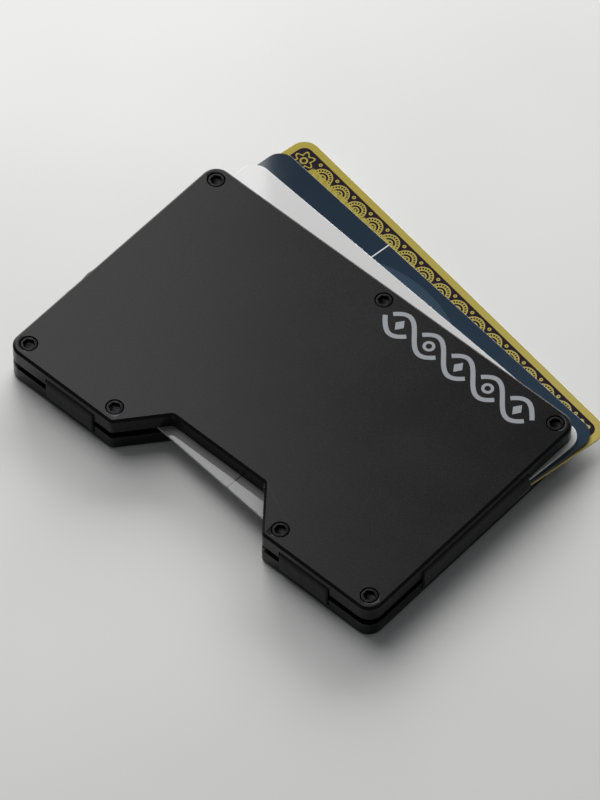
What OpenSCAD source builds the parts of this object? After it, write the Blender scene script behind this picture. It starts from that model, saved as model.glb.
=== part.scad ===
// Minimalist card wallet. Two shallow metal covers, each closed by an inner plate, are drawn together by
// four elastic bands and hold a fan of cards between them.
// +X runs along the long edge, +Y from the thumb notch to the edge where the cards come out, +Z up.
// The origin is the middle of the lower face.

/* [Cards] */
// Length of a card
card_l = 85.6; // [70:0.1:110]
// Width of a card
card_w = 53.98; // [45:0.01:70]
// Corner radius of a card
card_r = 3.18; // [1:0.01:5]
// Thickness of a card
card_t = 0.5; // [0.3:0.05:1]
// Air above, below and between the cards
card_gap = 0.025; // [0.02:0.005:0.1]

/* [Fan] */
// Angle that the white card is pushed out by
white_fan = 4.7; // [0:0.1:6]
// Point that the white card swings about
white_pole = [57.9, 1.9];
// Angle that the blue card is pushed out by
blue_fan = 7; // [0:0.1:8]
// Point that the blue card swings about
blue_pole = [71.5, 1.2];
// Angle that the gold card is pushed out by
gold_fan = 9; // [0:0.1:10]
// Point that the gold card swings about
gold_pole = [81.4, 2.4];

/* [Covers] */
// How far a cover reaches past a card's short edge
end_margin = 0.8; // [0.5:0.1:4]
// How far a cover reaches past a card's long edge
edge_margin = 0.86; // [0.5:0.01:4]
// Height of a cover, from its outer face to its rim
cover_h = 3.35; // [3:0.05:6]
// Thickness of a cover's face
face_t = 1.55; // [1.3:0.05:3]
// Width of the rim around a cover's pocket
rim_w = 1; // [0.6:0.05:1.5]
// Chamfer around the outer face
chamfer = 0.45; // [0.1:0.05:0.9]
// Corner radius of a cover
corner_r = 2.9; // [2.5:0.1:6]

/* [Thumb notch] */
// Width at the front edge
mouth_w = 36.1; // [28:0.1:40]
// Width at the back
throat_w = 21.9; // [12:0.1:26]
// Depth from the front edge
notch_depth = 8.65; // [4:0.05:12]
// Rounding of the notch's corners
notch_r = 1; // [0.5:0.1:2]

/* [Inner plates] */
// Thickness of an inner plate
plate_t = 1.1; // [0.8:0.05:1.6]
// Space between an inner plate and a cover's rim
plate_play = 0.15; // [0.05:0.05:0.3]
// Radius of the round bosses that meet the cover's face
boss_r = 1.7; // [1.4:0.05:2.2]
// Radius of the pegs that hold the bands' ends
peg_r = 0.8; // [0.5:0.05:1.2]
// Space between a peg and the hole in the band
peg_play = 0.1; // [0.05:0.05:0.2]

/* [Screws] */
// Distance from the edges to a screw
screw_inset = 2.9; // [2.5:0.1:4]
// Distance from the notch's mouth to the nearest screw
notch_screw_gap = 1.75; // [1:0.05:3]
// Radius of the head
head_r = 1.6; // [1.3:0.05:2]
// Height of the head
head_h = 0.95; // [0.7:0.05:1.2]
// How far the head sits below the cover's face
head_sink = 0.1; // [0:0.05:0.3]
// Space around the head
head_play = 0.12; // [0.05:0.01:0.3]
// Chamfer around the head
head_chamfer = 0.15; // [0.05:0.05:0.3]
// Width of the hex socket across its flats
socket_af = 2; // [1.3:0.1:2.2]
// Depth of the hex socket
socket_depth = 0.7; // [0.4:0.05:0.8]
// Radius of the shank
shank_r = 0.98; // [0.7:0.01:1.2]
// Space around the shank in the inner plate's thread
thread_play = 0.02; // [0.01:0.01:0.05]
// Space around the shank in the cover
hole_play = 0.12; // [0.05:0.01:0.2]
// How far the shank ends short of the inner plate's face
shank_short = 0.1; // [0:0.05:0.4]

/* [Elastic bands] */
// Thickness of a band
band_t = 0.6; // [0.4:0.05:0.7]
// Space between a band and the cover's face
band_play = 0.05; // [0.02:0.01:0.1]
// Width of a side band
side_band_w = 28; // [16:0.5:34]
// Width of a front band
front_band_w = 11.2; // [8:0.1:13]
// Distance from a notch screw's middle to the front band beside it
front_band_gap = 2.6; // [1.8:0.1:4]
// How far a band stands out past the covers' edges
band_reach = 0.45; // [0.2:0.05:0.8]
// Space at each end of a band, in its channel in the rim
channel_play = 0.35; // [0.1:0.05:0.6]
// Depth of a band's ends inside a cover, from its edge
band_hold = 7.6; // [6:0.1:12]
// How fast a stretched band falls back beside a card's corner, per millimetre
band_fall = 0.12; // [0.05:0.01:0.3]
// Distance from a cover's edge to the pegs
peg_inset = 5.4; // [4:0.1:9]
// Space between a band and the card that it is stretched over
band_card_play = 0.12; // [0.02:0.01:0.4]

/* [Hidden] */
// The screws of one cover: name and place.
screw_x = card_l / 2 + end_margin - screw_inset;
screw_y = card_w / 2 + edge_margin - screw_inset;
notch_screw_x = mouth_w / 2 + notch_screw_gap;
SPOTS = [["rear_left", -screw_x, screw_y],
         ["rear_middle", 0, screw_y],
         ["rear_right", screw_x, screw_y],
         ["front_left", -screw_x, -screw_y],
         ["notch_left", -notch_screw_x, -screw_y],
         ["notch_right", notch_screw_x, -screw_y],
         ["front_right", screw_x, -screw_y]];

$fn = 96;
corner_fn = 48;
// Overshoot of a cutter past the surface that it opens
cut = 1;

cover_l = card_l + 2 * end_margin;
cover_w = card_w + 2 * edge_margin;
pocket_h = cover_h - face_t;
// Height of an inner plate with its bosses, which leave room for a band
plate_h = plate_t + band_t + 2 * band_play;
// Height of a cover and an inner plate together
packed_h = face_t + plate_h;
half_h = max(cover_h, packed_h);
cards_h = 3 * card_t + 4 * card_gap;
wallet_h = 2 * half_h + cards_h;

head_depth = head_sink + head_h;
shank_l = packed_h - head_depth - shank_short;
hole_r = shank_r + hole_play;
socket_r = socket_af / sqrt(3);

CARDS = [[white_fan, white_pole], [blue_fan, blue_pole], [gold_fan, gold_pole]];

// The notch's side climbs at this angle from the mouth to the throat.
notch_angle = atan2(notch_depth, (mouth_w - throat_w) / 2);
throat_y = notch_depth - cover_w / 2;
// Distance from a notch corner to where its rounding meets an edge
notch_round = notch_r * tan(notch_angle / 2);
// How far the feet beside the notch run on into the cover's main part
foot_lap = 4;

band_z = face_t + band_play;
band_h = wallet_h - 2 * band_z;
side_pegs = [for (i = [-1:1]) i * side_band_w / 3];
front_band_x = notch_screw_x + front_band_gap + front_band_w / 2;
front_pegs = [for (i = [-1, 1]) i * front_band_w / 4];

// ---- Covers ----

// A round post with its top edge chamfered.
module post(r) {
    cylinder(r = r, h = cover_h - chamfer, $fn = corner_fn);
    translate([0, 0, cover_h - chamfer])
        cylinder(r1 = r, r2 = r - chamfer, h = chamfer, $fn = corner_fn);
}

// The part of a cover behind the notch.
module main_slab() {
    hull() {
        for (side = [-1, 1]) {
            translate([side * (cover_l / 2 - corner_r), cover_w / 2 - corner_r, 0]) post(corner_r);
            translate([side * (cover_l / 2 - notch_r), throat_y + notch_r, 0]) post(notch_r);
        }
    }
}

// The foot to the right of the notch.
module foot() {
    outer_x = cover_l / 2 - corner_r;
    mouth = [mouth_w / 2 + notch_round, notch_r - cover_w / 2];
    slope = [-cos(notch_angle), sin(notch_angle)];
    inward = [sin(notch_angle), cos(notch_angle)];
    lap = [throat_w / 2, throat_y] + foot_lap * slope + notch_r * inward;
    hull() {
        translate([outer_x, corner_r - cover_w / 2, 0]) post(corner_r);
        translate([outer_x, throat_y + foot_lap, 0]) post(corner_r);
        translate(mouth) post(notch_r);
        translate(lap) post(notch_r);
    }
}

// The rounding where the notch's throat meets its right side.
module throat_fillet() {
    reach = notch_r + 2 * chamfer;
    centre = [throat_w / 2 - notch_round, throat_y - notch_r];
    translate(centre) {
        difference() {
            linear_extrude(cover_h)
                polygon([[0, 0],
                         [0, reach],
                         [reach * tan(notch_angle / 2), reach],
                         [reach * sin(notch_angle), reach * cos(notch_angle)]]);
            translate([0, 0, -cut])
                cylinder(r = notch_r, h = cover_h + 2 * cut);
            translate([0, 0, cover_h - chamfer])
                cylinder(r1 = notch_r, r2 = notch_r + chamfer, h = chamfer);
            translate([0, 0, cover_h])
                cylinder(r = reach, h = cut);
        }
    }
}

// The plan of what lies inside a cover, drawn in from the cover's edge by the inset.
module inside_plan(inset) {
    r = corner_r - inset;
    difference() {
        union() {
            square([cover_l - 2 * inset, cover_w - 2 * inset - 2 * r], center = true);
            square([cover_l - 2 * inset - 2 * r, cover_w - 2 * inset], center = true);
            for (x = [-1, 1], y = [-1, 1])
                translate([x * (cover_l / 2 - corner_r), y * (cover_w / 2 - corner_r)])
                    circle(r);
        }
        offset(delta = inset)
            polygon([[-mouth_w / 2, -cover_w / 2],
                     [mouth_w / 2, -cover_w / 2],
                     [throat_w / 2, throat_y],
                     [-throat_w / 2, throat_y]]);
    }
}

// The gap in the rim that a band passes through.
module channel(band_w) {
    translate([-rim_w - cut, -band_w / 2 - channel_play, -cut])
        cube([rim_w + 2 * cut, band_w + 2 * channel_play, pocket_h + cut]);
}

// The holes for one screw, from the face down.
module screw_hole() {
    translate([0, 0, -cut])
        cylinder(r = hole_r, h = cover_h + 2 * cut);
    translate([0, 0, cover_h - head_depth])
        cylinder(r = head_r + head_play, h = head_depth + cut);
}

// One cover, with its rim at z = 0 and its face up.
module cover() {
    color([0.09, 0.09, 0.1])
        difference() {
            union() {
                main_slab();
                for (side = [0, 1]) {
                    mirror([side, 0, 0]) foot();
                    mirror([side, 0, 0]) throat_fillet();
                }
            }
            translate([0, 0, -cut])
                linear_extrude(pocket_h + cut)
                    inside_plan(rim_w);
            for (side = [0, 1]) {
                mirror([side, 0, 0])
                    translate([cover_l / 2, 0, 0])
                        channel(side_band_w);
                mirror([side, 0, 0])
                    translate([front_band_x, -cover_w / 2, 0])
                        rotate(-90)
                            channel(front_band_w);
            }
            for (spot = SPOTS)
                translate([spot[1], spot[2], 0])
                    screw_hole();
        }
}

// ---- Inner plates ----

// The plan of an inner plate, raised to the given height.
module plate_body(height) {
    linear_extrude(height)
        inside_plan(rim_w + plate_play);
}

// One inner plate, with its open face at z = 0 and its bosses up.
module inner_plate() {
    color([0.16, 0.16, 0.17])
        difference() {
            union() {
                plate_body(plate_t);
                intersection() {
                    plate_body(plate_h);
                    for (spot = SPOTS)
                        translate([spot[1], spot[2], -cut])
                            cylinder(r = boss_r, h = plate_h + 2 * cut);
                }
                for (side = [-1, 1]) {
                    for (y = side_pegs)
                        translate([side * (cover_l / 2 - peg_inset), y, 0])
                            cylinder(r = peg_r, h = plate_h - band_play);
                    for (x = front_pegs)
                        translate([side * front_band_x + x, peg_inset - cover_w / 2, 0])
                            cylinder(r = peg_r, h = plate_h - band_play);
                }
            }
            for (spot = SPOTS)
                translate([spot[1], spot[2], -cut])
                    cylinder(r = shank_r + thread_play, h = plate_h + 2 * cut);
        }
}

// ---- Screws ----

// One screw, with its tip at z = 0 and its head up.
module screw() {
    color([0.12, 0.12, 0.13])
        difference() {
            union() {
                cylinder(r = shank_r, h = shank_l);
                translate([0, 0, shank_l])
                    cylinder(r = head_r, h = head_h - head_chamfer);
                translate([0, 0, shank_l + head_h - head_chamfer])
                    cylinder(r1 = head_r, r2 = head_r - head_chamfer, h = head_chamfer);
            }
            translate([0, 0, shank_l + head_h - socket_depth])
                rotate(30)
                    cylinder(r = socket_r, h = socket_depth + cut, $fn = 6);
        }
}

// ---- Elastic bands ----

// Where the end of a fanned card crosses the line y, as a distance out from the middle.
function card_end(card, side, y) =
    let (fan = card[0],
         pole = card[1],
         end_x = side * card_l / 2 - pole[0],
         straight = card_w / 2 - card_r,
         along = (y - pole[1] + end_x * sin(fan)) / cos(fan),
         held = max(-straight - pole[1], min(straight - pole[1], along)))
    side * (pole[0] + end_x * cos(fan) + held * sin(fan)) - band_fall * abs(along - held);

// How far a side band reaches out at y: stretched, with a soft onset, by the card that reaches furthest.
function side_reach(side, y) =
    let (furthest = max([for (card = CARDS) card_end(card, side, y)]),
         needed = furthest + band_card_play + band_t - cover_l / 2 - band_reach,
         soft = 0.3)
    band_reach + (needed + norm([needed, soft])) / 2;

// A band around the edges of both covers: x is the distance out from the edge, and line holds its reach
// at places along its width. Its two ends lie in the covers, with holes for the pegs.
module band(line, pegs) {
    first = line[0];
    last = line[len(line) - 1];
    color([0.14, 0.14, 0.13])
        difference() {
            translate([0, 0, band_z])
                linear_extrude(band_h)
                    polygon(concat([[-band_hold, first[1]]], line, [[-band_hold, last[1]]]));
            translate([0, 0, band_z + band_t])
                linear_extrude(band_h - 2 * band_t)
                    polygon(concat([[-band_hold - cut, first[1] - cut], [first[0] - band_t, first[1] - cut]],
                                   [for (p = line) [p[0] - band_t, p[1]]],
                                   [[last[0] - band_t, last[1] + cut], [-band_hold - cut, last[1] + cut]]));
            for (y = pegs)
                translate([-peg_inset, y, 0])
                    cylinder(r = peg_r + peg_play, h = wallet_h);
        }
}

// A side band, drawn for the right, and stretched as on the given side.
module side_band(side) {
    steps = 28;
    line = [for (i = [0:steps])
               let (y = side_band_w * (i / steps - 1 / 2))
                   [side_reach(side, y), y]];
    translate([cover_l / 2, 0, 0])
        band(line, side_pegs);
}

// A front band, drawn to the right of the notch.
module front_band() {
    half = front_band_w / 2;
    translate([front_band_x, -cover_w / 2, 0])
        rotate(-90)
            band([[band_reach, -half], [band_reach, half]], front_pegs);
}

// ---- Cards ----

// A card in the given place of the stack, counted from the bottom, swung out about its pole.
module card(card, place) {
    translate([card[1][0], card[1][1], half_h + card_gap + place * (card_t + card_gap)])
        rotate(-card[0])
            translate([-card[1][0], -card[1][1], 0])
                linear_extrude(card_t) {
                    square([card_l, card_w - 2 * card_r], center = true);
                    square([card_l - 2 * card_r, card_w], center = true);
                    for (x = [-1, 1], y = [-1, 1])
                        translate([x * (card_l / 2 - card_r), y * (card_w / 2 - card_r)])
                            circle(card_r);
                }
}

// ---- Placing ----

// Lifts a piece, drawn with its half's open side at z = 0, into the top half.
module top_half() {
    translate([0, 0, wallet_h - half_h]) children();
}

// Turns a piece over into the bottom half.
module bottom_half() {
    translate([0, 0, half_h]) mirror([0, 0, 1]) children();
}

module placed_cover() {
    translate([0, 0, half_h - cover_h]) cover();
}

module placed_inner_plate() {
    translate([0, 0, half_h - packed_h]) inner_plate();
}

module placed_screw(spot) {
    translate([spot[1], spot[2], half_h - packed_h + shank_short]) screw();
}

module top_cover() {
    top_half() placed_cover();
}

module top_inner_plate() {
    top_half() placed_inner_plate();
}

module bottom_cover() {
    bottom_half() placed_cover();
}

module bottom_inner_plate() {
    bottom_half() placed_inner_plate();
}

module right_band() {
    side_band(1);
}

module left_band() {
    mirror([1, 0, 0]) side_band(-1);
}

module front_right_band() {
    front_band();
}

module front_left_band() {
    mirror([1, 0, 0]) front_band();
}

module white_card() {
    color([0.93, 0.93, 0.92]) card(CARDS[0], 2);
}

module blue_card() {
    color([0.15, 0.21, 0.28]) card(CARDS[1], 1);
}

module gold_card() {
    color([0.72, 0.64, 0.33]) card(CARDS[2], 0);
}

top_cover();
top_inner_plate();
bottom_cover();
bottom_inner_plate();
right_band();
left_band();
front_right_band();
front_left_band();
white_card();
blue_card();
gold_card();
for (spot = SPOTS) {
    top_half() placed_screw(spot);
    bottom_half() placed_screw(spot);
}
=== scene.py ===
"""Minimalist card wallet: two anodised covers, drawn together by elastic bands around a fan of three cards.

Every length in the classes is in millimetres, and becomes metres where a mesh is made.
"""

import sys

import logging
import math
from dataclasses import dataclass, field
from enum import Enum
from functools import partial
from typing import Any, Callable, Sequence

import bmesh
import bpy
from bmesh.types import BMEdge, BMesh, BMVert
from bpy.types import Node, NodeSocket, NodeTree
from mathutils import Matrix, Vector


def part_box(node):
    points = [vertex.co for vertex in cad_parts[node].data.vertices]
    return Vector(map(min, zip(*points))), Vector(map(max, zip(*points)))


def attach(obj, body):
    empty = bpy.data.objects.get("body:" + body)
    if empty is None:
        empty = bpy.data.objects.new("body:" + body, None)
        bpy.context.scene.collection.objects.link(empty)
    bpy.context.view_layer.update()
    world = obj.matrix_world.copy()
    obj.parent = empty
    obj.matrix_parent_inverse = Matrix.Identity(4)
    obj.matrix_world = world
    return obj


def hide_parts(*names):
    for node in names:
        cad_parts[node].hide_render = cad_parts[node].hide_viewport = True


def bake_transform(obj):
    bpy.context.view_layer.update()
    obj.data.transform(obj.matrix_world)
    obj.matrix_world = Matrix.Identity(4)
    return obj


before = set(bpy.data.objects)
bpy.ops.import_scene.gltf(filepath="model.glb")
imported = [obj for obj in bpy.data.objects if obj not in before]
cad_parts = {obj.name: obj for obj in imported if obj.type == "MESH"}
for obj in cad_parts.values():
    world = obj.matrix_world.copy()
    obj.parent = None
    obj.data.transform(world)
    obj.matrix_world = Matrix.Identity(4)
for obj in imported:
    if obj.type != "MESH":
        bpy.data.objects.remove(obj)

AddNode = Callable[..., Node]
Inputs = dict[Any, Any] | Sequence[Any]

LOG = logging.getLogger("wallet")
MM = 0.001
PRINT_MAP = "print"
WEAVE_MAP = "weave"
WELD = 0.002  # Points nearer than this are joined before a metal edge is rounded.
SOFT_ANGLE = 25.0  # The turn, in degrees, from which a metal edge gets its small round.
CARD_HALF = 42.0  # How far to each side of its middle a card's ground keeps changing, for the navy's deepening and the gold's painted highlight.


# ---- Shared tools ----


def colour(code: str) -> tuple[float, float, float, float]:
    """Turn an sRGB hex value into linear colour.

    Args:
        code: the value, such as "#1C1C1E".

    Returns:
        Red, green, blue and an alpha of 1.
    """
    parts = [int(code[i : i + 2], 16) / 255 for i in (1, 3, 5)]
    red, green, blue = (p / 12.92 if p <= 0.04045 else ((p + 0.055) / 1.055) ** 2.4 for p in parts)
    return red, green, blue, 1.0


def connect(node: Node, inputs: Inputs) -> None:
    """Fill a node's inputs.

    Args:
        node: the node.
        inputs: for each input, by name or number or in a list's order, a value, an output socket, or a
            node, whose first live output is used.
    """
    for key, value in inputs.items() if isinstance(inputs, dict) else enumerate(inputs):
        if isinstance(value, Node):
            value = next(socket for socket in value.outputs if socket.enabled)
        if isinstance(value, NodeSocket):
            node.id_data.links.new(value, node.inputs[key])
        else:
            node.inputs[key].default_value = value


def add_node(
    tree: NodeTree, kind: str, inputs: Inputs = (), stops: Sequence[tuple[float, str]] = (), **settings: Any
) -> Node:
    """Add a shader node with its settings and links.

    Args:
        tree: the material's node tree.
        kind: the node's type, without the leading "ShaderNode", and its operation where it has one.
        inputs: what fills its inputs, as connect() takes it.
        stops: the places and hex colours of a colour ramp.
        settings: the node's own properties.

    Returns:
        The new node.
    """
    kind, *operation = kind.split()
    node = tree.nodes.new("ShaderNode" + kind)
    for name, value in [("operation", word) for word in operation] + list(settings.items()):
        setattr(node, name, value)
    connect(node, inputs)
    for i, (place, code) in enumerate(stops):
        ramp = node.color_ramp.elements
        stop = ramp[i] if i < len(ramp) else ramp.new(place)
        stop.position, stop.color = place, colour(code)
    return node


def make_piece(bm: BMesh, name: str, finishes: Sequence["Finish"], sharp: float = 20.0) -> bpy.types.Object:
    """Turn a bmesh into a smooth-shaded object that keeps its sharp edges.

    Args:
        bm: the shape, in metres and in its place. It is freed.
        name: the piece's name.
        finishes: the finishes, in the order of the faces' material numbers.
        sharp: the angle, in degrees, from which an edge stays sharp.

    Returns:
        The new object.
    """
    for face in bm.faces:
        face.smooth = True
    mesh = bpy.data.meshes.new(name)
    bm.to_mesh(mesh)
    bm.free()
    mesh.set_sharp_from_angle(angle=math.radians(sharp))
    for finish in finishes:
        mesh.materials.append(finish.material())
    piece = bpy.data.objects.new(name, mesh)
    bpy.context.scene.collection.objects.link(piece)
    return piece


def sharp_edges(bm: BMesh, angle: float) -> list[BMEdge]:
    """List the edges whose two faces turn by more than an angle, in degrees."""
    return [e for e in bm.edges if e.is_manifold and e.calc_face_angle() > math.radians(angle)]


def round_edges(bm: BMesh, edges: list[BMEdge], width: float, segments: int) -> None:
    """Round edges over a width in millimetres."""
    bmesh.ops.bevel(
        bm, geom=edges, offset=width * MM, segments=segments, profile=0.5, affect="EDGES", material=-1,
        clamp_overlap=True,
    )


def write_map(bm: BMesh, name: str, place: Callable[[Vector], tuple[float, float]]) -> None:
    """Give a bmesh a UV map in millimetres.

    Args:
        bm: the shape, in metres.
        name: the map's name.
        place: turns a point, in millimetres, into its two map values.
    """
    layer = bm.loops.layers.uv.new(name)
    for face in bm.faces:
        for loop in face.loops:
            loop[layer].uv = place(loop.vert.co / MM)


def soften(piece: bpy.types.Object, width: float) -> None:
    """Give a CAD part's sharp edges the small round that finishing leaves on metal.

    Args:
        piece: the CAD node's object. Its own mesh keeps its vertices.
        width: the round's width, in millimetres.
    """
    for polygon in piece.data.polygons:
        polygon.use_smooth = True
    weld = piece.modifiers.new("weld", "WELD")
    weld.merge_threshold = WELD * MM
    edge = piece.modifiers.new("edge", "BEVEL")
    edge.width = width * MM
    edge.segments = 2
    edge.limit_method = "ANGLE"
    edge.angle_limit = math.radians(SOFT_ANGLE)
    even = piece.modifiers.new("even", "WEIGHTED_NORMAL")
    even.mode, even.weight = "FACE_AREA", 100


# ---- Finishes ----


@dataclass(frozen=True)
class Finish:
    """A finish, whose material is made when a piece first needs it."""

    name: str

    def material(self) -> bpy.types.Material:
        """Return the finish's material."""
        made = bpy.data.materials.get(self.name)
        if made is None:
            made = bpy.data.materials.new(self.name)
            made.use_nodes = True
            self.shade(partial(add_node, made.node_tree), made.node_tree.nodes["Principled BSDF"])
        return made

    def shade(self, add: AddNode, shader: Node) -> None:
        """Set the shader up, in each finish's own way."""


@dataclass(frozen=True)
class BlastedAnodising(Finish):
    """Aluminium, bead-blasted and then anodised black.

    The blasting leaves an even, very fine grain, and the dyed oxide over it is dark and satin.
    """

    dark: str = "#0F0F10"
    light: str = "#131314"
    relief: float = 0.14
    relief_depth: float = 0.006
    roughness: float = 0.26
    roughness_spread: float = 0.04
    ior: float = 1.45
    gloss_level: float = 0.22
    grain: float = 0.22  # Real blasting is nearer 0.08 mm, which would not show.
    grain_share: float = 0.6
    cloud: float = 14.0

    def shade(self, add: AddNode, shader: Node) -> None:
        """Grain in the tone, the gloss and the height, over a faint cloudiness of the dye."""
        place = add("TexCoord").outputs["Object"]
        grain = add("TexNoise", {"Vector": place, "Scale": 1 / (self.grain * MM), "Detail": 2.0})
        cloud = add("TexNoise", {"Vector": place, "Scale": 1 / (self.cloud * MM), "Detail": 3.0})
        blend = add("Mix", {"Factor": self.grain_share, 2: cloud, 3: grain}, data_type="FLOAT")
        tone = add("ValToRGB", {"Fac": blend}, stops=[(0.35, self.dark), (0.65, self.light)])
        low, high = self.roughness - self.roughness_spread, self.roughness + self.roughness_spread
        spread = {"From Min": 0.3, "From Max": 0.7, "To Min": low, "To Max": high}
        gloss = add("MapRange", {"Value": blend} | spread)
        bump = add("Bump", {"Height": grain, "Strength": self.relief, "Distance": self.relief_depth * MM})
        connect(shader, {"IOR": self.ior, "Specular IOR Level": self.gloss_level})
        connect(shader, {"Base Color": tone, "Roughness": gloss, "Normal": bump})


@dataclass(frozen=True)
class BrushedAnodising(Finish):
    """Rolled aluminium plate, brushed lengthwise and anodised black: fine scratches under a dark oxide."""

    dark: str = "#171718"
    light: str = "#242426"
    relief: float = 0.4
    relief_depth: float = 0.006
    roughness: float = 0.34
    roughness_spread: float = 0.1
    ior: float = 1.52
    line: float = 0.25  # Real brush lines are nearer 0.05 mm, which would not show.
    run: float = 18.0

    def shade(self, add: AddNode, shader: Node) -> None:
        """Lines that run along X, in the tone, the gloss and the height."""
        place = add("TexCoord").outputs["Object"]
        across = 1 / (self.line * MM)
        scale = (1 / (self.run * MM), across, across)
        stretched = add("Mapping", {"Vector": place, "Scale": scale})
        lines = add("TexNoise", {"Vector": stretched, "Scale": 1.0, "Detail": 3.0})
        tone = add("ValToRGB", {"Fac": lines}, stops=[(0.3, self.dark), (0.7, self.light)])
        low, high = self.roughness - self.roughness_spread, self.roughness + self.roughness_spread
        gloss = add("MapRange", {"Value": lines, "To Min": low, "To Max": high})
        bump = add("Bump", {"Height": lines, "Strength": self.relief, "Distance": self.relief_depth * MM})
        connect(shader, {"IOR": self.ior, "Base Color": tone, "Roughness": gloss, "Normal": bump})


@dataclass(frozen=True)
class BlackOxide(Finish):
    """Alloy steel with a black oxide: a thin dark skin that keeps the metal's shine, faintly mottled."""

    dark: str = "#151516"
    light: str = "#202021"
    relief: float = 0.15
    relief_depth: float = 0.01
    roughness: float = 0.34
    roughness_spread: float = 0.08
    mottle: float = 0.5

    def shade(self, add: AddNode, shader: Node) -> None:
        """Mottling in the tone and the gloss, and a little of it in the height."""
        place = add("TexCoord").outputs["Object"]
        mottle = add("TexNoise", {"Vector": place, "Scale": 1 / (self.mottle * MM), "Detail": 4.0})
        tone = add("ValToRGB", {"Fac": mottle}, stops=[(0.35, self.dark), (0.68, self.light)])
        low, high = self.roughness - self.roughness_spread, self.roughness + self.roughness_spread
        gloss = add("MapRange", {"Value": mottle, "To Min": high, "To Max": low})
        bump = add("Bump", {"Height": mottle, "Strength": self.relief, "Distance": self.relief_depth * MM})
        connect(shader, {"Metallic": 1.0, "Base Color": tone, "Roughness": gloss, "Normal": bump})


@dataclass(frozen=True)
class LaserMark(Finish):
    """Anodising burnt off by a laser: bare, pale grey, matt oxide, with the beam's fine scan lines."""

    dark: str = "#83878C"
    light: str = "#94989D"
    relief: float = 0.2
    relief_depth: float = 0.004
    roughness: float = 0.55
    ior: float = 1.45
    scan: float = 0.18  # Real scan lines are nearer 0.04 mm, which would not show.

    def shade(self, add: AddNode, shader: Node) -> None:
        """Scan lines along X, in the tone and the height."""
        place = add("TexCoord").outputs["Object"]
        lines = add("TexWave",
            {"Vector": place, "Scale": math.pi / (10 * self.scan * MM), "Distortion": 0.4, "Detail": 1.0},
            bands_direction="Y",
        )
        tone = add("ValToRGB", {"Fac": lines.outputs["Fac"]}, stops=[(0.2, self.dark), (0.8, self.light)])
        height = lines.outputs["Fac"]
        bump = add("Bump", {"Height": height, "Strength": self.relief, "Distance": self.relief_depth * MM})
        connect(shader, {"IOR": self.ior, "Roughness": self.roughness})
        connect(shader, {"Base Color": tone, "Normal": bump})


@dataclass(frozen=True)
class WovenElastic(Finish):
    """Woven elastic webbing: rubber cords covered in polyester, matt, ribbed lengthwise and softly fuzzy."""

    dark: str = "#0C0B0B"
    light: str = "#1D1B1A"
    cord: float = 0.7
    weft: float = 0.42
    relief: float = 0.55
    relief_depth: float = 0.06
    roughness: float = 0.78
    gloss_level: float = 0.3
    sheen: float = 0.12
    sheen_roughness: float = 0.5
    fuzz: float = 0.12

    def shade(self, add: AddNode, shader: Node) -> None:
        """Rounded cords along the band, crossed by weft rows that step over every other cord; the tone carries
        painted shade in their hollows.
        """
        weave = add("UVMap", uv_map=WEAVE_MAP).outputs["UV"]
        split = add("SeparateXYZ", {"Vector": weave})
        across = add("Math MULTIPLY", [split.outputs["X"], math.pi / self.cord])
        cord = add("Math ABSOLUTE", [add("Math SINE", [across])])
        cell = add("Math DIVIDE", [split.outputs["X"], self.cord])
        side = add("Math MULTIPLY", [add("Math FLOOR", [cell]), math.pi])
        along = add("Math MULTIPLY_ADD", [split.outputs["Y"], math.pi / self.weft, side])
        weft = add("MapRange", {"Value": add("Math SINE", [along]), "From Min": -1.0})
        height = add("Math MULTIPLY", [cord, add("Math MULTIPLY_ADD", [weft, 0.35, 0.65])])
        place = add("TexCoord").outputs["Object"]
        fuzz = add("TexNoise", {"Vector": place, "Scale": 1 / (self.fuzz * MM), "Detail": 2.0})
        # The weave's height with random fuzz: the tone uses it as painted shade that darkens the hollows
        # between cords and rows, and the bump uses it as relief.
        weave_relief_and_fuzz = add("Mix", {"Factor": 0.3, 2: height, 3: fuzz}, data_type="FLOAT")
        tone = add("ValToRGB", {"Fac": weave_relief_and_fuzz}, stops=[(0.1, self.dark), (0.85, self.light)])
        bump = add("Bump", {"Height": weave_relief_and_fuzz, "Strength": self.relief, "Distance": self.relief_depth * MM})
        connect(shader, {"Roughness": self.roughness, "Specular IOR Level": self.gloss_level})
        connect(shader, {"Sheen Weight": self.sheen, "Sheen Roughness": self.sheen_roughness})
        connect(shader, {"Base Color": tone, "Normal": bump})


@dataclass(frozen=True)
class LaminatedPvc(Finish):
    """Printed PVC under a clear laminate: even ink, and a gloss with the faintest ripple from the press."""

    roughness: float = 0.05
    ior: float = 1.58
    ripple: float = 6.0

    def shade(self, add: AddNode, shader: Node) -> None:
        """The ink in the colour, and the press's ripple and dust in the gloss."""
        place = add("TexCoord").outputs["Object"]
        ripple = add("TexNoise", {"Vector": place, "Scale": 1 / (self.ripple * MM), "Detail": 3.0})
        low, high = self.roughness * 0.85, self.roughness * 1.2
        spread = {"From Min": 0.3, "From Max": 0.7, "To Min": low, "To Max": high}
        gloss = add("MapRange", {"Value": ripple} | spread)
        print_map = add("UVMap", uv_map=PRINT_MAP).outputs["UV"]
        split = add("SeparateXYZ", {"Vector": print_map})
        ink = self.ink(add, split.outputs["X"], split.outputs["Y"])
        connect(shader, {"IOR": self.ior, "Base Color": ink, "Roughness": gloss})

    def ink(self, add: AddNode, x: NodeSocket, y: NodeSocket) -> Node:
        """Draw the print, in each card's own way.

        Args:
            add: adds a node to the material.
            x: the place along the card, in millimetres from its middle.
            y: the place across the card, in millimetres from its middle.

        Returns:
            The ink's colour.
        """
        raise NotImplementedError


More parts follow.
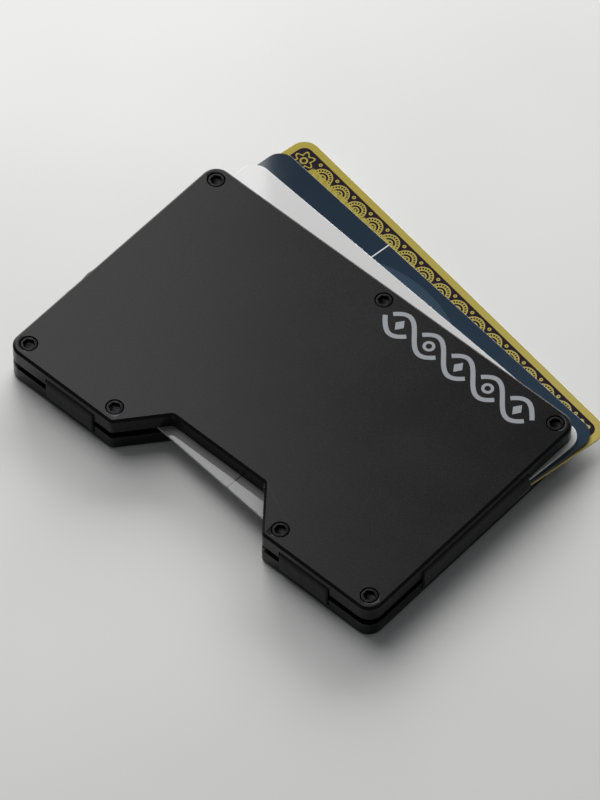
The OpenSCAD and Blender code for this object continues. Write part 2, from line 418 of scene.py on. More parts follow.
@dataclass(frozen=True)
class PaperWhitePrint(LaminatedPvc):
    """Off-white ink, and along the front edge a greyer band of fine lines that one thin dark rule crosses: the
    lines are print, and the grey under them is painted shade where the top cover shades the card in its notch.
    """

    white: str = "#D2D2D1"
    band: str = "#929291"
    # The band's grey is painted shade, where the top cover shades the card in its notch; its fine lines are
    # print.
    shade_band_line: str = "#868685"
    shade_band_y: float = -14.0
    shade_band_fade: float = 1.0
    line_pitch: float = 0.5
    rule: str = "#4C4C4E"
    rule_x: float = 7.3
    rule_width: float = 0.25

    def ink(self, add: AddNode, x: NodeSocket, y: NodeSocket) -> Node:
        """The plain ground, the lined band of painted shade, then the rule on it."""
        half = self.line_pitch / 2
        fine = add("Math PINGPONG", [y, half])
        lines = add("MapRange", {"Value": fine, "From Max": half})
        band, line = colour(self.band), colour(self.shade_band_line)
        lined = add("Mix", {"Factor": lines, 6: band, 7: line}, data_type="RGBA")
        rule = add("Math COMPARE", [x, self.rule_x, self.rule_width / 2])
        ruled = add("Mix", {"Factor": rule, 6: lined, 7: colour(self.rule)}, data_type="RGBA")
        low, high = self.shade_band_y - self.shade_band_fade / 2, self.shade_band_y + self.shade_band_fade / 2
        fade = {"From Min": low, "From Max": high, "To Min": 1.0, "To Max": 0.0}
        # Painted shade: the card turns grey towards its front edge, under the top cover's notch.
        in_shade_band = add("MapRange", {"Value": y} | fade)
        return add("Mix", {"Factor": in_shade_band, 6: colour(self.white), 7: ruled}, data_type="RGBA")


@dataclass(frozen=True)
class NavyPrint(LaminatedPvc):
    """Navy ink, with one thin white rule across the card and a lighter arc screened into fine dots."""

    navy: str = "#293949"
    deep: str = "#1B2937"
    dots: str = "#3C4E5F"
    rule: str = "#D8DADC"
    rule_x: float = -13.2
    rule_width: float = 0.25
    dot_pitch: float = 0.5
    dot_ground: float = 0.35
    arc_centre: tuple[float, float] = (-1.0, 8.0)
    arc_radius: tuple[float, float] = (21.0, 17.3)
    arc_edge: float = 0.985

    def ink(self, add: AddNode, x: NodeSocket, y: NodeSocket) -> Node:
        """Navy that deepens to one end, the screened arc, then the rule."""
        depth = add("MapRange", {"Value": x, "From Min": -CARD_HALF, "From Max": CARD_HALF})
        ground = add("Mix", {"Factor": depth, 6: colour(self.deep), 7: colour(self.navy)}, data_type="RGBA")
        place = add("CombineXYZ", {"X": x, "Y": y})
        pitch, half = self.dot_pitch, self.dot_pitch / 2
        cells = add("VectorMath MODULO", [place, (pitch, pitch, 1.0)])
        cell = add("VectorMath ABSOLUTE", [cells])
        folded = add("VectorMath DISTANCE", [cell, (half, half, 0.0)])
        faded = {"From Min": pitch * 0.2, "From Max": half, "To Min": 1.0, "To Max": self.dot_ground}
        dot = add("MapRange", {"Value": folded} | faded)
        centred = add("VectorMath SUBTRACT", [place, (*self.arc_centre, 0.0)])
        along, across = self.arc_radius
        squeezed = add("VectorMath MULTIPLY", [centred, (1 / along, 1 / across, 0.0)])
        reach = add("VectorMath LENGTH", [squeezed])
        edge = {"From Min": self.arc_edge, "To Min": 1.0, "To Max": 0.0}
        inside = add("MapRange", {"Value": reach} | edge)
        right = add("Math GREATER_THAN", [x, self.rule_x])
        screen = add("Math MULTIPLY", [add("Math MULTIPLY", [inside, dot]), right])
        screened = add("Mix", {"Factor": screen, 6: ground, 7: colour(self.dots)}, data_type="RGBA")
        rule = add("Math COMPARE", [x, self.rule_x, self.rule_width / 2])
        return add("Mix", {"Factor": rule, 6: screened, 7: colour(self.rule)}, data_type="RGBA")


@dataclass(frozen=True)
class GiltPrint(LaminatedPvc):
    """Gold ink with a painted highlight that lightens it towards one end, and a plum border of arches and
    beads set in from the edge, round a field of fine rays.
    """

    gold: str = "#A99A45"
    # The painted highlight's colour, which the gold ground lightens to towards the card's +X end.
    pale: str = "#BBAC5E"
    plum: str = "#241A24"
    ray: str = "#8E7F30"
    length: float = 85.6
    width: float = 53.98
    corner: float = 3.18
    margin: float = 1.45
    border: float = 2.6
    arch_pitch: float = 4.8
    arch_radius: float = 2.0
    hoops: int = 3
    ribs: int = 20
    bead_pitch: float = 0.62
    bead_chain: tuple[float, float] = (0.12, 0.2)
    ring_rise: float = 1.75
    ring: tuple[float, float] = (0.25, 0.12)
    petals: int = 6
    petal_swing: float = 0.38
    petal_reach: float = 1.65
    petal_line: float = 0.17
    heart_reach: float = 0.62
    rosette_reach: float = 2.45
    ray_origin: float = 40.0
    rays: float = 620.0
    moire: float = 3.1

    def edge_distance(self, add: AddNode, x: NodeSocket, y: NodeSocket) -> Node:
        """Measure the distance in from the card's rounded outline.

        Args:
            add: adds a node to the material.
            x: the place along the card.
            y: the place across the card.

        Returns:
            The distance, in millimetres.
        """
        place = add("VectorMath ABSOLUTE", [add("CombineXYZ", {"X": x, "Y": y})])
        within = add("VectorMath SUBTRACT", [(self.length / 2, self.width / 2, 0.0), place])
        room = add("SeparateXYZ", {"Vector": within})
        straight = add("Math MINIMUM", [room.outputs["X"], room.outputs["Y"]])
        centre = (self.length / 2 - self.corner, self.width / 2 - self.corner, 0.0)
        past = add("VectorMath SUBTRACT", [place, centre])
        outside = add("VectorMath MAXIMUM", [past, (0.0, 0.0, 0.0)])
        reach = add("VectorMath LENGTH", [outside])
        round_part = add("Math SUBTRACT", [self.corner, reach])
        near = add("Math MINIMUM", [straight, round_part])
        beyond = add("Math SUBTRACT", [straight, self.corner])
        deep = add("Math MAXIMUM", [beyond, 0.0])
        return add("Math ADD", [near, deep])

    def stripes(self, add: AddNode, wave: str, value: Any, rate: float, level: float) -> Node:
        """Return 1 where a sine or cosine of a value, taken at a rate, is above a level."""
        turned = add("Math MULTIPLY", [value, rate])
        return add("Math GREATER_THAN", [add("Math " + wave, [turned]), level])

    def arches(self, add: AddNode, x: Node, depth: Node) -> Node:
        """Draw the border's row of ribbed arches, with a small ring in each valley.

        Args:
            add: adds a node to the material.
            x: the place along the border.
            depth: the distance in from the border's outer edge.

        Returns:
            1 where the ornament is gold.
        """
        half = self.arch_pitch / 2
        fold = add("Math PINGPONG", [x, half])
        rise = add("Math SUBTRACT", [self.border, depth])
        place = add("CombineXYZ", {"X": fold, "Y": rise})
        from_arch = add("VectorMath LENGTH", [place])
        hoop = self.stripes(add, "COSINE", from_arch, math.tau * self.hoops / self.arch_radius, 0.3)
        around = add("Math ARCTAN2", [rise, fold])
        spoke = self.stripes(add, "COSINE", around, self.ribs, 0.3)
        rim = add("Math GREATER_THAN", [from_arch, self.arch_radius * 2 / 3])
        ribbed = add("Math MULTIPLY", [rim, spoke])
        lit = add("Math MAXIMUM", [hoop, ribbed])
        within = add("Math LESS_THAN", [from_arch, self.arch_radius * 1.06])
        arch = add("Math MULTIPLY", [within, lit])
        beads = self.stripes(add, "SINE", x, math.tau / self.bead_pitch, -0.35)
        on_chain = add("Math COMPARE", [rise, *self.bead_chain])
        beaded = add("Math MULTIPLY", [on_chain, beads])
        valley = add("VectorMath DISTANCE", [place, (half, self.ring_rise, 0.0)])
        ring = add("Math COMPARE", [valley, *self.ring])
        both = add("Math MAXIMUM", [arch, beaded])
        return add("Math MAXIMUM", [both, ring])

    def rosette(self, add: AddNode, x: NodeSocket, y: NodeSocket) -> tuple[Node, Node]:
        """Draw the petalled rosette that turns each corner of the border.

        Args:
            add: adds a node to the material.
            x: the place along the card.
            y: the place across the card.

        Returns:
            1 inside the corner's square, and 1 where the rosette is gold.
        """
        inset = self.margin + self.border
        middle = (self.length / 2 - inset, self.width / 2 - inset, 0.0)
        place = add("VectorMath ABSOLUTE", [add("CombineXYZ", {"X": x, "Y": y})])
        local = add("VectorMath SUBTRACT", [place, middle])
        split = add("SeparateXYZ", {"Vector": local})
        angle = add("Math ARCTAN2", [split.outputs["Y"], split.outputs["X"]])
        petals = add("Math COSINE", [add("Math MULTIPLY", [angle, self.petals])])
        reach = add("VectorMath LENGTH", [local])
        outline = add("Math MULTIPLY_ADD", [petals, self.petal_swing, self.petal_reach])
        petal = add("Math COMPARE", [reach, outline, self.petal_line])
        heart = add("Math COMPARE", [reach, self.heart_reach, self.petal_line])
        inside = add("Math LESS_THAN", [reach, self.rosette_reach])
        return inside, add("Math MAXIMUM", [petal, heart])

    def ink(self, add: AddNode, x: NodeSocket, y: NodeSocket) -> Node:
        """The gold ground with its painted highlight, the rays in the field, the border, then the corners'
        rosettes.
        """
        depth = self.edge_distance(add, x, y)
        # Painted highlight: the gold ground lightens along the card towards its +X end.
        sheen = add("MapRange", {"Value": x, "From Min": -CARD_HALF, "From Max": CARD_HALF})
        ground = add("Mix", {"Factor": sheen, 6: colour(self.gold), 7: colour(self.pale)}, data_type="RGBA")
        lean = add("Math ARCTAN2", [add("Math ADD", [y, self.ray_origin]), x])
        rays = add("Math SINE", [add("Math MULTIPLY", [lean, self.rays])])
        slant = add("Math MULTIPLY", [add("Math ADD", [x, y]), self.moire])
        lines = add("Math ADD", [rays, add("Math SINE", [slant])])
        shown = {"From Min": -0.6, "From Max": 1.6, "To Max": 0.75}
        engraving = add("MapRange", {"Value": lines} | shown)
        in_field = add("Math GREATER_THAN", [depth, self.margin + self.border])
        engraved = add("Math MULTIPLY", [engraving, in_field])
        field_ink = add("Mix", {"Factor": engraved, 6: ground, 7: colour(self.ray)}, data_type="RGBA")
        in_border = add("Math COMPARE", [depth, self.margin + self.border / 2, self.border / 2])
        inward = add("Math SUBTRACT", [depth, self.margin])
        from_middle = add("Math ABSOLUTE", [y])
        turn = self.width / 2 - self.margin - self.border
        long_side = add("Math GREATER_THAN", [from_middle, turn])
        run = add("Mix", {"Factor": long_side, 2: y, 3: x}, data_type="FLOAT")
        ornament = self.arches(add, run, inward)
        corner, petals = self.rosette(add, x, y)
        drawn = add("Mix", {"Factor": corner, 2: ornament, 3: petals}, data_type="FLOAT")
        ribbon = add("Math MAXIMUM", [in_border, corner])
        past_margin = add("Math GREATER_THAN", [depth, self.margin])
        printed = add("Math MULTIPLY", [ribbon, past_margin])
        bare = add("Math SUBTRACT", [1.0, drawn])
        dark_part = add("Math MULTIPLY", [printed, bare])
        return add("Mix", {"Factor": dark_part, 6: field_ink, 7: colour(self.plum)}, data_type="RGBA")


@dataclass(frozen=True)
class StripePrint(LaminatedPvc):
    """A card's plain back, with the brown-black magnetic stripe along one edge and a pale signing panel."""

    ground: str = "#C9C9C6"
    stripe: str = "#1B1816"
    panel: str = "#F0EFEA"
    stripe_y: float = 17.0
    stripe_width: float = 12.7
    panel_place: tuple[float, float] = (-12.0, 2.0)
    panel_size: tuple[float, float] = (54.0, 9.0)

    def ink(self, add: AddNode, x: NodeSocket, y: NodeSocket) -> Node:
        """The ground, the signing panel, then the stripe."""
        beside = add("Math COMPARE", [x, self.panel_place[0], self.panel_size[0] / 2])
        level = add("Math COMPARE", [y, self.panel_place[1], self.panel_size[1] / 2])
        panel = add("Math MULTIPLY", [beside, level])
        signed = add("Mix", {"Factor": panel, 6: colour(self.ground), 7: colour(self.panel)}, data_type="RGBA"
        )
        stripe = add("Math COMPARE", [y, self.stripe_y, self.stripe_width / 2])
        return add("Mix", {"Factor": stripe, 6: signed, 7: colour(self.stripe)}, data_type="RGBA")


@dataclass(frozen=True)
class StudioPaper(Finish):
    """Seamless background paper: pale, matt, and barely mottled."""

    dark: str = "#DEDEDC"
    light: str = "#E6E6E4"
    mottle: float = 12.0
    roughness: float = 0.9
    gloss_level: float = 0.1

    def shade(self, add: AddNode, shader: Node) -> None:
        """Faint mottling in the tone."""
        place = add("TexCoord").outputs["Object"]
        mottle = add("TexNoise", {"Vector": place, "Scale": self.mottle, "Detail": 2.0})
        tone = add("ValToRGB", {"Fac": mottle}, stops=[(0.3, self.dark), (0.7, self.light)])
        connect(shader, {"Roughness": self.roughness, "Specular IOR Level": self.gloss_level})
        connect(shader, {"Base Color": tone})


# ---- Studio ----


@dataclass
class Softbox:
    """A large soft light.

    Its place is a direction from the wallet, in degrees as the camera's are, and a distance in metres.
    """

    name: str
    azimuth: float
    elevation: float
    distance: float
    width: float
    height: float
    brightness: float
    shift: float = 0.0
    tint: str = "#FFFFFF"

    def build(self, target: Vector) -> bpy.types.Object:
        """Place the light, facing the wallet.

        Args:
            target: the point that it faces.

        Returns:
            The light's object.
        """
        light = bpy.data.lights.new(self.name, "AREA")
        light.shape = "RECTANGLE"
        light.size, light.size_y = self.width, self.height
        light.energy = self.brightness * self.width * self.height * math.pi
        light.color = colour(self.tint)[:3]
        lamp = bpy.data.objects.new(self.name, light)
        bpy.context.scene.collection.objects.link(lamp)
        back, right, up = view_axes(self.azimuth, self.elevation)
        turn = Matrix((right, up, back)).transposed().to_4x4()
        lamp.matrix_world = Matrix.Translation(target + back * self.distance + right * self.shift) @ turn
        return lamp


def view_axes(azimuth: float, elevation: float) -> tuple[Vector, Vector, Vector]:
    """Find the axes of something that looks at the wallet.

    Args:
        azimuth: the angle round +Z in degrees. 0 looks along +Y.
        elevation: the angle above the horizon, in degrees.

    Returns:
        The directions towards the looker, to its right, and up.
    """
    a, e = math.radians(azimuth), math.radians(elevation)
    back = Vector((math.sin(a) * math.cos(e), -math.cos(a) * math.cos(e), math.sin(e)))
    right = Vector((math.cos(a), math.sin(a), 0.0))
    return back, right, back.cross(right)


@dataclass
class Studio:
    """The paper floor, the lights and the camera."""

    floor_size: float = 4.0
    target: tuple[float, float, float] = (0.0036346, -0.0017073, 0.0083)
    azimuth: float = 41.340
    elevation: float = 54.095
    roll: float = 0.616
    distance: float = 1.2916
    lens: float = 326.5
    sensor: float = 36.0
    world: str = "#DADCE0"
    world_strength: float = 0.16
    softboxes: list[Softbox] = field(
        default_factory=lambda: [
            Softbox("key", 212.0, 22.0, 0.9, 0.9, 0.4, 8.0),
            Softbox("mirror", 221.34, 54.095, 0.5, 0.35, 0.5, 3.3, shift=0.1838),
        ]
    )

    def build(self) -> None:
        """Make the floor, the lights and the camera."""
        bm = bmesh.new()
        bmesh.ops.create_grid(bm, x_segments=2, y_segments=2, size=self.floor_size / 2)
        make_piece(bm, "floor", [StudioPaper("seamless_paper")])
        target = Vector(self.target)
        for softbox in self.softboxes:
            softbox.build(target)
        world = bpy.data.worlds.new("studio")
        world.use_nodes = True
        sky = world.node_tree.nodes["Background"]
        sky.inputs["Color"].default_value = colour(self.world)
        sky.inputs["Strength"].default_value = self.world_strength
        bpy.context.scene.world = world
        bpy.context.scene.view_settings.view_transform = "Standard"
        self.build_camera(target)

    def build_camera(self, target: Vector) -> None:
        """Make the camera, and turn it by its small roll.

        Args:
            target: the point at the middle of its view.
        """
        data = bpy.data.cameras.new("camera")
        data.lens, data.sensor_width = self.lens, self.sensor
        data.clip_start, data.clip_end = 0.05, 20.0
        camera = bpy.data.objects.new("camera", data)
        bpy.context.scene.collection.objects.link(camera)
        back, right, up = view_axes(self.azimuth, self.elevation)
        turn = Matrix((right, up, back)).transposed().to_4x4()
        roll = Matrix.Rotation(math.radians(self.roll), 4, "Z")
        camera.matrix_world = Matrix.Translation(target + back * self.distance) @ turn @ roll
        bpy.context.scene.camera = camera


# ---- The wallet ----


class Half(Enum):
    """The wallet's two halves, by the names of their bodies."""

    TOP = "top"
    BOTTOM = "bottom"


@dataclass
class MetalShell:
    """One half's cover and inner plate, which keep their CAD shapes."""

    half: Half
    cover_round: float = 0.05
    plate_round: float = 0.05

    def dress(self) -> None:
        """Give both parts their finish and their small edge rounds."""
        for part, finish, width in (
            ("cover", BlastedAnodising("black_anodised_aluminium"), self.cover_round),
            ("inner_plate", BrushedAnodising("brushed_black_plate"), self.plate_round),
        ):
            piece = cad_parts[f"{self.half.value}_{part}"]
            piece.data.materials.clear()
            piece.data.materials.append(finish.material())
            soften(piece, width)
            LOG.info("%s dressed", piece.name)


@dataclass
class CapScrew:
    """A small socket-head screw, turned and pressed, with a hexagonal socket."""

    head_radius: float = 1.6
    head_height: float = 0.95
    head_chamfer: float = 0.15
    shank_radius: float = 0.98
    tip_chamfer: float = 0.2
    socket_flats: float = 2.0
    socket_depth: float = 0.7
    socket_cone: float = 0.12
    segments: int = 48
    edge_round: float = 0.03

    def socket_radius(self, angle: float) -> float:
        """Return the hexagon's radius at an angle, with its corners towards +Y and -Y."""
        sixth = math.tau / 6
        return self.socket_flats / 2 / math.cos((angle + sixth / 2) % sixth - sixth / 2)

    def grow(self, bm: BMesh, ring: list[BMEdge], radius: float | None, height: float) -> list:
        """Extrude a ring to a new radius and height.

        Args:
            bm: the screw's bmesh, in millimetres.
            ring: the open ring of edges.
            radius: the new ring's radius, or None for the socket's hexagon.
            height: the new ring's height.

        Returns:
            The new ring of edges.
        """
        made = bmesh.ops.extrude_edge_only(bm, edges=ring)["geom"]
        for vert in (g for g in made if isinstance(g, BMVert)):
            angle = math.atan2(vert.co.y, vert.co.x)
            reach = self.socket_radius(angle) if radius is None else radius
            vert.co = Vector((reach * math.cos(angle), reach * math.sin(angle), height))
        return [g for g in made if isinstance(g, BMEdge)]

    def build(self, node: str, half: Half) -> None:
        """Make the screw that stands for a CAD node.

        Args:
            node: the CAD node's name.
            half: the half that it holds together.
        """
        low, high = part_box(node)
        length = (high.z - low.z) / MM
        bm = bmesh.new()
        floor_z = length - self.socket_depth
        start = bmesh.ops.create_circle(bm, segments=self.segments, radius=self.socket_flats / 4)["verts"]
        bmesh.ops.translate(bm, verts=start, vec=(0, 0, floor_z - self.socket_cone))
        bmesh.ops.contextual_create(bm, geom=start)
        ring = list(bm.edges)
        under = length - self.head_height
        for radius, height in (
            (None, floor_z),
            (None, length),
            (self.head_radius - self.head_chamfer, length),
            (self.head_radius, length - self.head_chamfer),
            (self.head_radius, under),
            (self.shank_radius, under),
            (self.shank_radius, self.tip_chamfer),
            (self.shank_radius - self.tip_chamfer, 0.0),
        ):
            ring = self.grow(bm, ring, radius, height)
        bmesh.ops.contextual_create(bm, geom=ring)
        bmesh.ops.recalc_face_normals(bm, faces=bm.faces)
        bmesh.ops.scale(bm, vec=(MM, MM, MM), verts=bm.verts)
        round_edges(bm, sharp_edges(bm, 25), self.edge_round, 2)
        middle = (low + high) / 2
        place = Matrix.Translation((middle.x, middle.y, low.z))
        if half is Half.BOTTOM:
            place = Matrix.Translation((middle.x, middle.y, high.z)) @ Matrix.Rotation(math.pi, 4, "X")
        bmesh.ops.transform(bm, matrix=place, verts=bm.verts)
        piece = make_piece(bm, f"{node}_turned", [BlackOxide("black_oxide_steel")])
        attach(piece, half.value)
        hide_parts(node)


@dataclass
class ScrewSet:
    """The seven screws of each half."""

    screw: CapScrew = field(default_factory=CapScrew)

    def build(self) -> None:
        """Make a screw for every CAD screw."""
        names = sorted(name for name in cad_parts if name.endswith("_screw"))
        for name in names:
            self.screw.build(name, Half(name.split("_")[0]))
        LOG.info("%d screws built", len(names))


@dataclass
class CardSpec:
    """A card's size, and how far it is swung out of the wallet about its pole."""

    node: str
    fan: float
    pole: tuple[float, float]
    face: LaminatedPvc
    length: float = 85.6
    width: float = 53.98
    corner: float = 3.18

    def end_reach(self, side: int, y: float, fall: float) -> float:
        """Find where the fanned card's end crosses a line.

        Args:
            side: 1 for the right end, and -1 for the left.
            y: the line's place.
            fall: how fast the reach falls back beside the card's corner, per millimetre.

        Returns:
            The distance out from the wallet's middle.
        """
        turn = math.radians(self.fan)
        end = side * self.length / 2 - self.pole[0]
        straight = self.width / 2 - self.corner
        along = (y - self.pole[1] + end * math.sin(turn)) / math.cos(turn)
        held = max(-straight - self.pole[1], min(straight - self.pole[1], along))
        reach = side * (self.pole[0] + end * math.cos(turn) + held * math.sin(turn))
        return reach - fall * abs(along - held)


@dataclass
class Card:
    """A laminated card with rounded corners and softly trimmed edges."""

    spec: CardSpec
    corner_segments: int = 14
    trim: float = 0.06

    def build(self) -> None:
        """Make the card in its fanned place."""
        spec = self.spec
        low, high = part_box(spec.node)
        bm = bmesh.new()
        bmesh.ops.create_cube(bm, size=1.0)
        bmesh.ops.scale(bm, vec=(spec.length * MM, spec.width * MM, high.z - low.z), verts=bm.verts)
        upright = [e for e in bm.edges if abs(e.verts[0].co.z - e.verts[1].co.z) > (high.z - low.z) / 2]
        round_edges(bm, upright, spec.corner, self.corner_segments)
        round_edges(bm, sharp_edges(bm, 60), self.trim, 2)
        write_map(bm, PRINT_MAP, lambda p: (p.x, p.y))
        for face in bm.faces:
            face.material_index = 1 if face.normal.z < -0.5 else 0
        pole = Vector((spec.pole[0] * MM, spec.pole[1] * MM, 0.0))
        turn = Matrix.Rotation(-math.radians(spec.fan), 4, "Z")
        swing = Matrix.Translation(pole) @ turn @ Matrix.Translation(-pole)
        place = swing @ Matrix.Translation((0.0, 0.0, (low.z + high.z) / 2))
        bmesh.ops.transform(bm, matrix=place, verts=bm.verts)
        piece = make_piece(bm, f"{spec.node}_printed", [spec.face, StripePrint("card_back")])
        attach(piece, spec.node)
        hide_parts(spec.node)
        LOG.info("%s built", piece.name)


@dataclass(frozen=True)
class Stretch:
    """How the cards push a band out at one place: how far, and between which heights."""

    push: float = 0.0
    low: float = 0.0
    high: float = 0.0


@dataclass
class ElasticBand:
    """A woven elastic band, hooked on pegs inside both covers and bowed out round their edges."""

    node: str
    width: float
    middle: tuple[float, float]
    outward: float
    stretch: Callable[[float], "Stretch"]
    pegs: Sequence[float]
    thickness: float = 0.6
    thinning: float = 0.15
    thinned_at: float = 0.5
    reach: float = 0.45
    hold: float = 7.6
    shoulder: float = 1.6
    squareness: float = 5.0
    tent_foot: float = 0.9
    peg_inset: float = 5.4
    peg_hole: float = 0.9
    edge_round: float = 0.18
    end_steps: int = 5
    bow_steps: int = 40

    def profile(self, share: float, inset: float, half: float, stretch: Stretch) -> tuple[float, float]:
        """Find a point on the band's section, which the cards draw out into a blunt tent.

        Args:
            share: the place along the section, from -1 at the lower end to 1 at the upper end.
            inset: the depth in from the outer surface.
            half: half the section's height.
            stretch: how the cards push the band out.

        Returns:
            The distance out from the covers' edge, and the height from the wallet's middle.
        """
        bow = self.bow_steps / (self.bow_steps + 2 * self.end_steps)
        if abs(share) > bow:
            run = (abs(share) - bow) / (1 - bow)
            return -self.shoulder - run * (self.hold - self.shoulder), math.copysign(half, share)
        v = math.sin(share / bow * math.pi / 2)
        level = max(0.0, 1 - abs(v) ** self.squareness)
        out = (self.reach + self.shoulder - inset) * level ** (1 / self.squareness) - self.shoulder
        z = v * half
        foot = half * self.tent_foot
        above, below = (foot - z) / (foot - stretch.high), (foot + z) / (foot + stretch.low)
        return out + stretch.push * max(0.0, min(1.0, above, below)), z

    def sheet(self, bm: BMesh, low: float, high: float, inner: bool) -> None:
        """Add the band's outer or inner surface, drawn at the right of the wallet.

        Args:
            bm: the band's bmesh, in millimetres.
            low: the height of the band's lower end.
            high: the height of its upper end.
            inner: whether it is the inner surface.
        """
        rows = max(8, round(self.width))
        steps = self.bow_steps + 2 * self.end_steps
        made = bmesh.ops.create_grid(bm, x_segments=steps, y_segments=rows, size=1.0)["verts"]
        for vert in made:
            y = vert.co.y * self.width / 2
            stretch = self.stretch(y)
            thinned = self.thinning * min(1.0, stretch.push / self.thinned_at)
            inset = self.thickness - thinned if inner else 0.0
            out, level = self.profile(vert.co.x, inset, (high - low) / 2 - inset, stretch)
            vert.co = Vector((out, y, (low + high) / 2 + level))

    def build(self) -> None:
        """Make the band and punch its peg holes."""
        box_low, box_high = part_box(self.node)
        low, high = box_low.z / MM, box_high.z / MM
        bm = bmesh.new()
        self.sheet(bm, low, high, inner=False)
        self.sheet(bm, low, high, inner=True)
        bmesh.ops.bridge_loops(bm, edges=[e for e in bm.edges if e.is_boundary])
        bmesh.ops.recalc_face_normals(bm, faces=bm.faces)
        bmesh.ops.scale(bm, vec=(MM, MM, MM), verts=bm.verts)
        round_edges(bm, sharp_edges(bm, 50), self.edge_round, 3)
        centre = (low + high) / 2
        write_map(bm, WEAVE_MAP, lambda p: (p.y, p.z - centre - math.copysign(p.x, p.z - centre)))
        turn = Matrix.Translation((self.middle[0] * MM, self.middle[1] * MM, 0.0))
        turn = turn @ Matrix.Rotation(math.radians(self.outward), 4, "Z")
        bmesh.ops.transform(bm, matrix=turn, verts=bm.verts)
        piece = make_piece(bm, f"{self.node}_woven", [WovenElastic("woven_elastic")], sharp=50)
        self.punch(piece, turn, high)
        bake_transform(piece)
        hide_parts(self.node)
        LOG.info("%s built", piece.name)

    def punch(self, piece: bpy.types.Object, turn: Matrix, top: float) -> None:
        """Cut the holes for the inner plates' pegs.

        Args:
            piece: the band.
            turn: the band's place.
            top: the height of its upper end.
        """
        bm = bmesh.new()
        for y in self.pegs:
            place = turn @ Matrix.Translation((-self.peg_inset * MM, y * MM, top / 2 * MM))
            bmesh.ops.create_cone(
                bm, cap_ends=True, segments=32, radius1=self.peg_hole * MM, radius2=self.peg_hole * MM,
                depth=2 * top * MM, matrix=place,
            )
        cutter = make_piece(bm, "punch", [])
        cut = piece.modifiers.new("holes", "BOOLEAN")
        cut.operation, cut.solver, cut.object = "DIFFERENCE", "EXACT", cutter
        bpy.context.view_layer.update()
        shown = piece.evaluated_get(bpy.context.evaluated_depsgraph_get())
        whole, piece.data = piece.data, bpy.data.meshes.new_from_object(shown)
        piece.modifiers.clear()
        bpy.data.objects.remove(cutter)
        bpy.data.meshes.remove(whole)


@dataclass
class BandSet:
    """The two side bands, stretched over the fanned cards, and the two short front bands."""

    cards: Sequence[CardSpec]
    cover_length: float = 87.2
    cover_width: float = 55.7
    side_width: float = 28.0
    front_width: float = 11.2
    front_x: float = 28.0
    card_play: float = 0.07
    fall: float = 0.12
    onset: float = 0.2

    def side_stretch(self, side: int) -> Callable[[float], Stretch]:
        """Find how the cards push a side band out.

        Args:
            side: 1 for the right band, and -1 for the left.

        Returns:
            The stretch at each place along the side.
        """
        middle = sum(corner.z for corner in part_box("right_band")) / 2 / MM
        levels = {card.node: [corner.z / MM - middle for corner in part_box(card.node)] for card in self.cards}

        def push(y: float) -> Stretch:
            """Return the stretch at one place: its onset is soft, and a drawn-out band grows thinner."""
            reaches = {card.node: card.end_reach(side, y, self.fall) for card in self.cards}
            furthest = max(reaches, key=reaches.get)
            needed = reaches[furthest] + self.card_play - self.cover_length / 2 - ElasticBand.reach
            outside = needed + ElasticBand.thickness
            thick = outside / (1 + ElasticBand.thinning / ElasticBand.thinned_at)
            thin = outside - ElasticBand.thinning
            drawn = max(thick, thin)
            return Stretch((drawn + math.hypot(drawn, self.onset)) / 2, *levels[furthest])

        return push

    def build(self) -> None:
        """Make the four bands."""
        end, front = self.cover_length / 2, -self.cover_width / 2
        side_pegs = [i * self.side_width / 3 for i in (-1, 0, 1)]
        front_pegs = [i * self.front_width / 4 for i in (-1, 1)]
        right, left = self.side_stretch(1), self.side_stretch(-1)
        ElasticBand("right_band", self.side_width, (end, 0.0), 0.0, right, side_pegs).build()
        ElasticBand("left_band", self.side_width, (-end, 0.0), 180.0, lambda y: left(-y), side_pegs).build()
        for name, x in (("front_right_band", self.front_x), ("front_left_band", -self.front_x)):
            ElasticBand(name, self.front_width, (x, front), -90.0, lambda y: Stretch(), front_pegs).build()


class Motif(Enum):
    """What fills an eye of the frieze."""

    LOZENGE = "lozenge"
    RING = "ring"


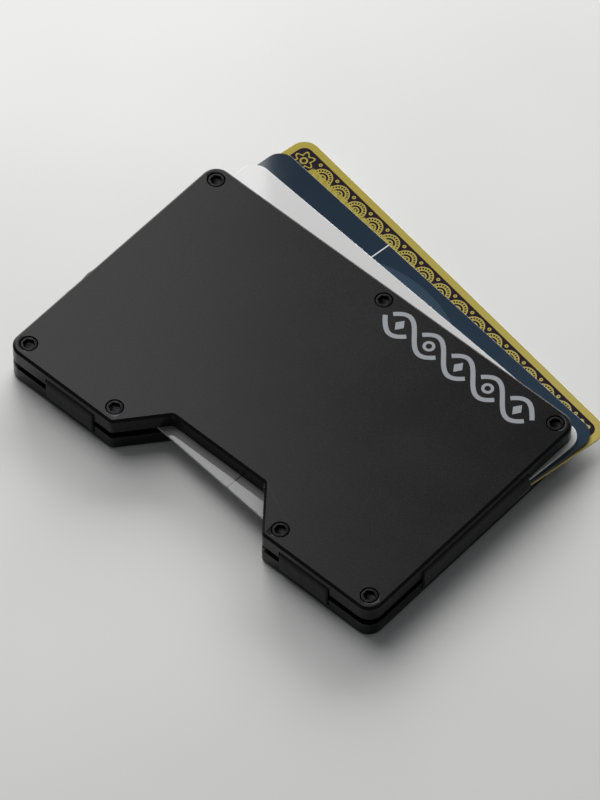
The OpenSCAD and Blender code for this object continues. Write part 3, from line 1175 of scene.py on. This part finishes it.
@dataclass
class Frieze:
    """The plain ornament marked on the top cover: two crossing strands, with a motif in each eye."""

    left: float = 2.4
    right: float = 37.2
    middle_y: float = 22.6
    height: float = 6.2
    stroke: float = 0.9
    eyes: int = 5
    gap: float = 0.95
    depth: float = 0.004
    lift: float = 0.012
    lozenge: tuple[float, float] = (0.95, 1.35)
    ring_radius: float = 1.15
    ring_hole: float = 0.5
    motifs: tuple[Motif, ...] = (Motif.LOZENGE, Motif.RING, Motif.LOZENGE, Motif.RING, Motif.LOZENGE)

    def strand(self, bm: BMesh, start: float, end: float, side: int) -> None:
        """Add a stretch of one strand.

        Args:
            bm: the frieze's bmesh, in millimetres.
            start: where it starts along the frieze.
            end: where it ends.
            side: 1 for the strand that starts upwards, and -1 for the other.
        """
        swing = (self.height - self.stroke) / 2
        rate = math.pi * self.eyes / (self.right - self.left)
        made = bmesh.ops.create_grid(bm, x_segments=30, y_segments=1, size=1.0)["verts"]
        for vert in made:
            x = start + (vert.co.x + 1) / 2 * (end - start)
            phase = rate * (x - self.left)
            slope = side * swing * rate * math.cos(phase)
            across = Vector((-slope, 1.0, 0.0)).normalized() * vert.co.y * self.stroke / 2
            vert.co = Vector((x, self.middle_y + side * swing * math.sin(phase), 0.0)) + across

    def eye(self, bm: BMesh, x: float, motif: Motif) -> None:
        """Add the motif in one eye.

        Args:
            bm: the frieze's bmesh, in millimetres.
            x: the eye's middle.
            motif: what to draw.
        """
        place = Matrix.Translation((x, self.middle_y, 0.0))
        if motif is Motif.LOZENGE:
            made = bmesh.ops.create_circle(bm, cap_ends=True, segments=4, radius=1.0)["verts"]
            bmesh.ops.scale(bm, vec=(*self.lozenge, 1.0), verts=made)
            bmesh.ops.transform(bm, matrix=place, verts=made)
        else:
            made = bmesh.ops.create_circle(bm, segments=40, radius=self.ring_radius)["verts"]
            ring = list(dict.fromkeys(e for v in made for e in v.link_edges))
            grown = bmesh.ops.extrude_edge_only(bm, edges=ring)["geom"]
            inner = [g for g in grown if isinstance(g, BMVert)]
            bmesh.ops.scale(bm, vec=(self.ring_hole, self.ring_hole, 1.0), verts=inner)
            bmesh.ops.transform(bm, matrix=place, verts=made + inner)

    def build(self) -> None:
        """Make the frieze, a hair proud of the top cover's face."""
        bm = bmesh.new()
        eye_width = (self.right - self.left) / self.eyes
        for side in (1, -1):
            start = self.left
            for crossing in range(self.eyes + 1):
                under = (crossing % 2 == 1) != (side == 1)
                if under:
                    x = self.left + crossing * eye_width
                    if crossing:
                        self.strand(bm, start, x - self.gap, side)
                    start = x + self.gap
            if start < self.right:
                self.strand(bm, start, self.right, side)
        for i, motif in enumerate(self.motifs):
            self.eye(bm, self.left + (i + 0.5) * eye_width, motif)
        raised = bmesh.ops.extrude_face_region(bm, geom=list(bm.faces), use_keep_orig=True)["geom"]
        top = [g for g in raised if isinstance(g, BMVert)]
        bmesh.ops.translate(bm, verts=top, vec=(0.0, 0.0, self.depth + self.lift))
        bmesh.ops.recalc_face_normals(bm, faces=bm.faces)
        face_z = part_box("top_cover")[1].z
        bmesh.ops.scale(bm, vec=(MM, MM, MM), verts=bm.verts)
        bmesh.ops.translate(bm, verts=bm.verts, vec=(0.0, 0.0, face_z - self.depth * MM))
        piece = make_piece(bm, "top_cover_frieze", [LaserMark("laser_marked_aluminium")])
        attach(piece, Half.TOP.value)
        LOG.info("%s built", piece.name)


@dataclass
class Wallet:
    """The whole wallet."""

    cards: Sequence[CardSpec] = (
        CardSpec("white_card", 4.7, (57.9, 1.9), PaperWhitePrint("white_print")),
        CardSpec("blue_card", 7.0, (71.5, 1.2), NavyPrint("navy_print")),
        CardSpec("gold_card", 9.0, (81.4, 2.4), GiltPrint("gilt_print")),
    )

    def build(self) -> None:
        """Build and dress every piece."""
        for half in Half:
            MetalShell(half).dress()
        ScrewSet().build()
        for spec in self.cards:
            Card(spec).build()
        BandSet(self.cards).build()
        Frieze().build()


def main() -> None:
    """Build the studio and the wallet."""
    logging.basicConfig(level=logging.INFO, format="%(message)s", stream=sys.stdout)
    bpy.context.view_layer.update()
    Studio().build()
    Wallet().build()
    bpy.context.view_layer.update()


if __name__ == "__main__":
    main()
